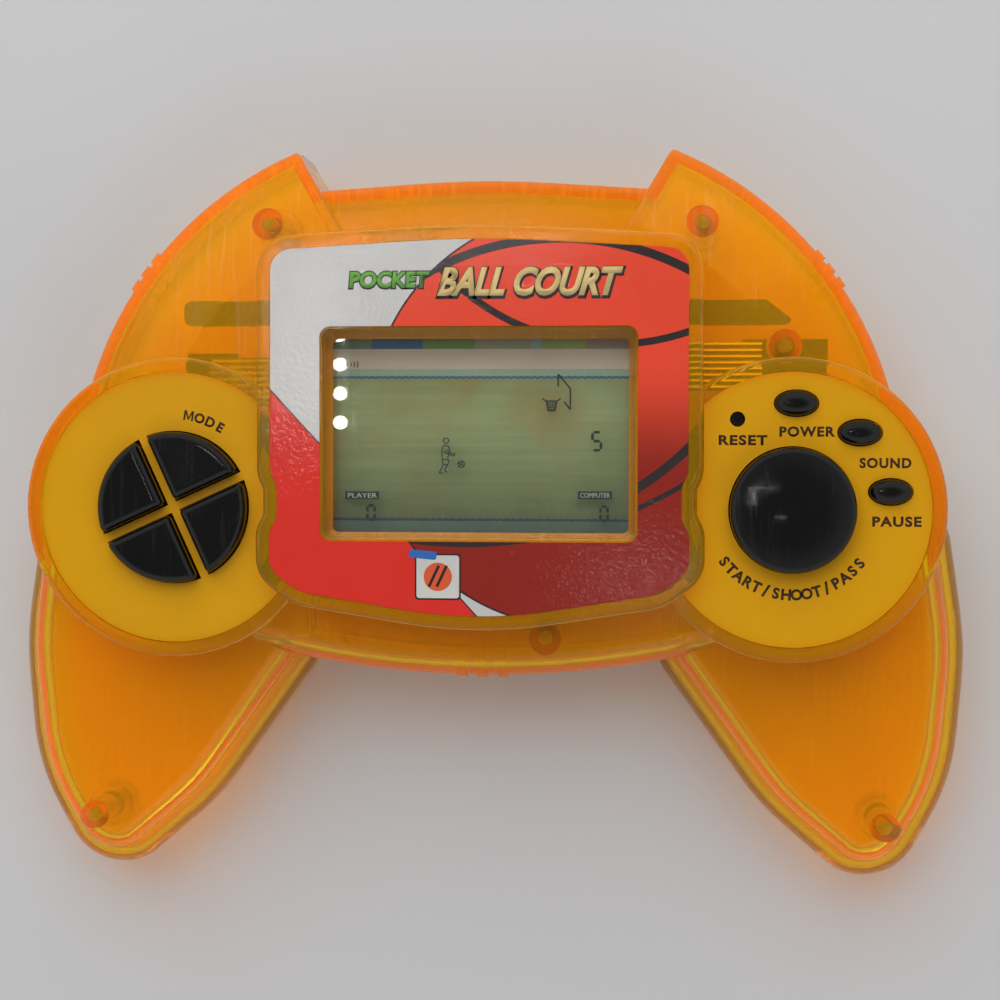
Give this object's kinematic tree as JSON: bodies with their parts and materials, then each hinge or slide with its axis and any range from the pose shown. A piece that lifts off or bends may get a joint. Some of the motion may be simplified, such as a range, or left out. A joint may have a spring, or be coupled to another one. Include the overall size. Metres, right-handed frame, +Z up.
{
  "type": "handheld lcd game",
  "caption": "Two-grip handheld LCD game with a framed display, a round pad of wedge-shaped direction keys, a domed action key, small oval keys and a sliding battery door.",
  "frame": {"origin": "on the surface the game lies on, under the middle of its outline", "axes": "+X to the player's right, +Y away from the player to the rear edge, +Z up out of the display face"},
  "size_m": [0.1498, 0.1134, 0.0302],
  "materials": {
    "amber_clear": "see-through amber plastic, moulded gloss",
    "pad_yellow": "opaque golden yellow, satin",
    "label_print": "printed sheet, glossy with a faint pebble",
    "lens_clear": "clear moulded window, polished",
    "key_black": "black, moulded gloss",
    "lcd_glass": "thin display glass",
    "backdrop_print": "printed reflector card, matte",
    "holder_dark": "dark tray, matte",
    "strip_rubber": "striped contact rubber",
    "board_green": "printed circuit board with solder mask",
    "mat_rubber": "moulded silicone rubber",
    "ribbon_silver": "flat cable with bright conductors",
    "epoxy_black": "cured epoxy drop",
    "capacitor_sleeve": "shrunk sleeve",
    "resonator_case": "dipped ceramic",
    "resistor_body": "lacquered ceramic",
    "piezo_brass": "thin sounder disc",
    "foam_white": "foam adhesive ring",
    "cell_wrap": "plain printed wrap on a steel can",
    "plated_steel": "nickel-plated contact steel",
    "lead_red": "insulated lead",
    "lead_black": "insulated lead",
    "screw_steel": "zinc-plated screw"
  },
  "bodies": {
    "casing": {"front_shell": "amber_clear", "back_shell": "amber_clear", "left_pad_plate": "pad_yellow", "right_pad_plate": "pad_yellow", "face_label": "label_print", "display_lens": "lens_clear", "lcd_front_glass": "lcd_glass", "lcd_rear_glass": "lcd_glass", "lcd_backdrop": "backdrop_print", "lcd_holder": "holder_dark", "front_zebra_strip": "strip_rubber", "rear_zebra_strip": "strip_rubber", "main_board": "board_green", "left_key_board": "board_green", "right_key_board": "board_green", "left_key_mat": "mat_rubber", "right_key_mat": "mat_rubber", "left_ribbon": "ribbon_silver", "right_ribbon": "ribbon_silver", "chip_blob": "epoxy_black", "capacitors": "capacitor_sleeve", "resonator": "resonator_case", "resistors": "resistor_body", "piezo_disc": "piezo_brass", "piezo_foam_ring": "foam_white", "front_cell": "cell_wrap", "rear_cell": "cell_wrap", "contact_bridge": "plated_steel", "bridge_spring": "plated_steel", "positive_contact": "plated_steel", "negative_contact": "plated_steel", "negative_spring": "plated_steel", "positive_lead": "lead_red", "negative_lead": "lead_black", "speaker_leads": "lead_black", "case_screws": "screw_steel", "board_screws": "screw_steel"},
    "door": {"battery_door": "amber_clear"},
    "up_key_body": {"up_key": "key_black"},
    "left_key_body": {"left_key": "key_black"},
    "down_key_body": {"down_key": "key_black"},
    "right_key_body": {"right_key": "key_black"},
    "action_button_body": {"action_button": "key_black"},
    "power_button_body": {"power_button": "key_black"},
    "sound_button_body": {"sound_button": "key_black"},
    "pause_button_body": {"pause_button": "key_black"},
    "reset_button_body": {"reset_button": "key_black"}
  },
  "joints": [
    {"name": "up_key_press", "type": "slide", "parent": "casing", "child": "up_key_body", "axis": [0, 0, -1], "range_m": [0, 0.0008], "stiffness_N_per_m": 400, "springref_m": -0.002},
    {"name": "left_key_press", "type": "slide", "parent": "casing", "child": "left_key_body", "axis": [0, 0, -1], "range_m": [0, 0.0008], "stiffness_N_per_m": 400, "springref_m": -0.002},
    {"name": "down_key_press", "type": "slide", "parent": "casing", "child": "down_key_body", "axis": [0, 0, -1], "range_m": [0, 0.0008], "stiffness_N_per_m": 400, "springref_m": -0.002},
    {"name": "right_key_press", "type": "slide", "parent": "casing", "child": "right_key_body", "axis": [0, 0, -1], "range_m": [0, 0.0008], "stiffness_N_per_m": 400, "springref_m": -0.002},
    {"name": "action_button_press", "type": "slide", "parent": "casing", "child": "action_button_body", "axis": [0, 0, -1], "range_m": [0, 0.0008], "stiffness_N_per_m": 400, "springref_m": -0.002},
    {"name": "power_button_press", "type": "slide", "parent": "casing", "child": "power_button_body", "axis": [0, 0, -1], "range_m": [0, 0.0008], "stiffness_N_per_m": 400, "springref_m": -0.002},
    {"name": "sound_button_press", "type": "slide", "parent": "casing", "child": "sound_button_body", "axis": [0, 0, -1], "range_m": [0, 0.0008], "stiffness_N_per_m": 400, "springref_m": -0.002},
    {"name": "pause_button_press", "type": "slide", "parent": "casing", "child": "pause_button_body", "axis": [0, 0, -1], "range_m": [0, 0.0008], "stiffness_N_per_m": 400, "springref_m": -0.002},
    {"name": "reset_button_press", "type": "slide", "parent": "casing", "child": "reset_button_body", "axis": [0, 0, -1], "range_m": [0, 0.0008], "stiffness_N_per_m": 400, "springref_m": -0.002},
    {"name": "door_slide", "type": "slide", "parent": "casing", "child": "door", "axis": [0, -1, 0], "range_m": [0, 0.038]}
  ]
}
